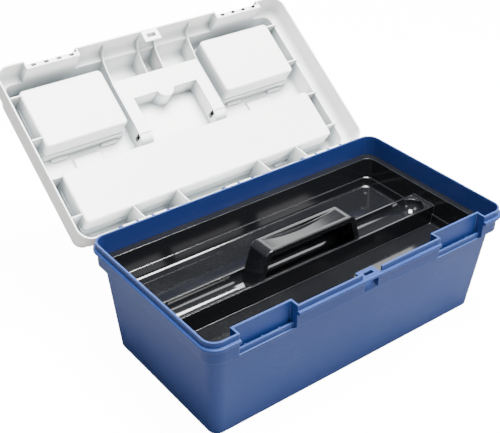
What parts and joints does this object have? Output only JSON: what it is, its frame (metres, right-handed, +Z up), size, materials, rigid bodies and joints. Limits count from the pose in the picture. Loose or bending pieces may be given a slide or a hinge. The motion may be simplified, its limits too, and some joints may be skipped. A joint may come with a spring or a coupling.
{
  "type": "toolbox with tray",
  "caption": "Plastic toolbox with a hinged organiser lid, snap latches, folding carry handle, clear compartment covers and a lift-out tray.",
  "frame": {"origin": "centre of the tub's flat base", "axes": "+Z up out of the tub's mouth, +X to the right along the long side, +Y to the back where the lid hinges; the latches are on the -Y side"},
  "size_m": [0.4, 0.43, 0.2547],
  "materials": {
    "tub_plastic": "fine matte moulded texture outside, smoother navy inside",
    "lid_plastic": "satin moulded polypropylene",
    "tray_plastic": "glossy",
    "handle_plastic": "glossy",
    "latch_plastic": "satin gloss",
    "clear_plastic": "clear moulded",
    "pin_steel": "drawn wire"
  },
  "bodies": {
    "tub": {"tub": "tub_plastic", "hinge_pin_left": "pin_steel", "hinge_pin_middle": "pin_steel", "hinge_pin_right": "pin_steel"},
    "lid": {"lid": "lid_plastic", "latch_pin_left": "pin_steel", "latch_pin_right": "pin_steel"},
    "latch_left": {"latch_left": "latch_plastic"},
    "latch_right": {"latch_right": "latch_plastic"},
    "carry_handle": {"carry_handle": "handle_plastic"},
    "cover_left": {"cover_left": "clear_plastic"},
    "cover_right": {"cover_right": "clear_plastic"},
    "cover_long": {"cover_long": "clear_plastic"},
    "tray": {"tray": "tray_plastic", "tray_handle": "handle_plastic"}
  },
  "joints": [
    {"name": "lid_hinge", "type": "hinge", "parent": "tub", "child": "lid", "pos_m": [0, 0.1147, 0.1241], "axis": [-1, 0, 0], "range_deg": [-143.7, 0]},
    {"name": "latch_left_hinge", "type": "hinge", "parent": "lid", "child": "latch_left", "pos_m": [-0.13, 0.29331, 0.24885], "axis": [-1, 0, 0], "range_deg": [-172, 0]},
    {"name": "latch_right_hinge", "type": "hinge", "parent": "lid", "child": "latch_right", "pos_m": [0.13, 0.29331, 0.24885], "axis": [-1, 0, 0], "range_deg": [-172, 0]},
    {"name": "carry_handle_pivot", "type": "hinge", "parent": "lid", "child": "carry_handle", "pos_m": [0, 0.23371, 0.1511], "axis": [-1, 0, 0], "range_deg": [0, 92]},
    {"name": "cover_left_hinge", "type": "hinge", "parent": "lid", "child": "cover_left", "pos_m": [-0.123, 0.24916, 0.1478], "axis": [-1, 0, 0], "range_deg": [0, 100]},
    {"name": "cover_right_hinge", "type": "hinge", "parent": "lid", "child": "cover_right", "pos_m": [0.123, 0.24916, 0.1478], "axis": [-1, 0, 0], "range_deg": [0, 100]},
    {"name": "cover_long_hinge", "type": "hinge", "parent": "lid", "child": "cover_long", "pos_m": [0, 0.1701, 0.08973], "axis": [-1, 0, 0], "range_deg": [0, 100]},
    {"name": "tray_lift", "type": "slide", "parent": "tub", "child": "tray", "axis": [0, 0, 1], "range_m": [0, 0.15]}
  ]
}
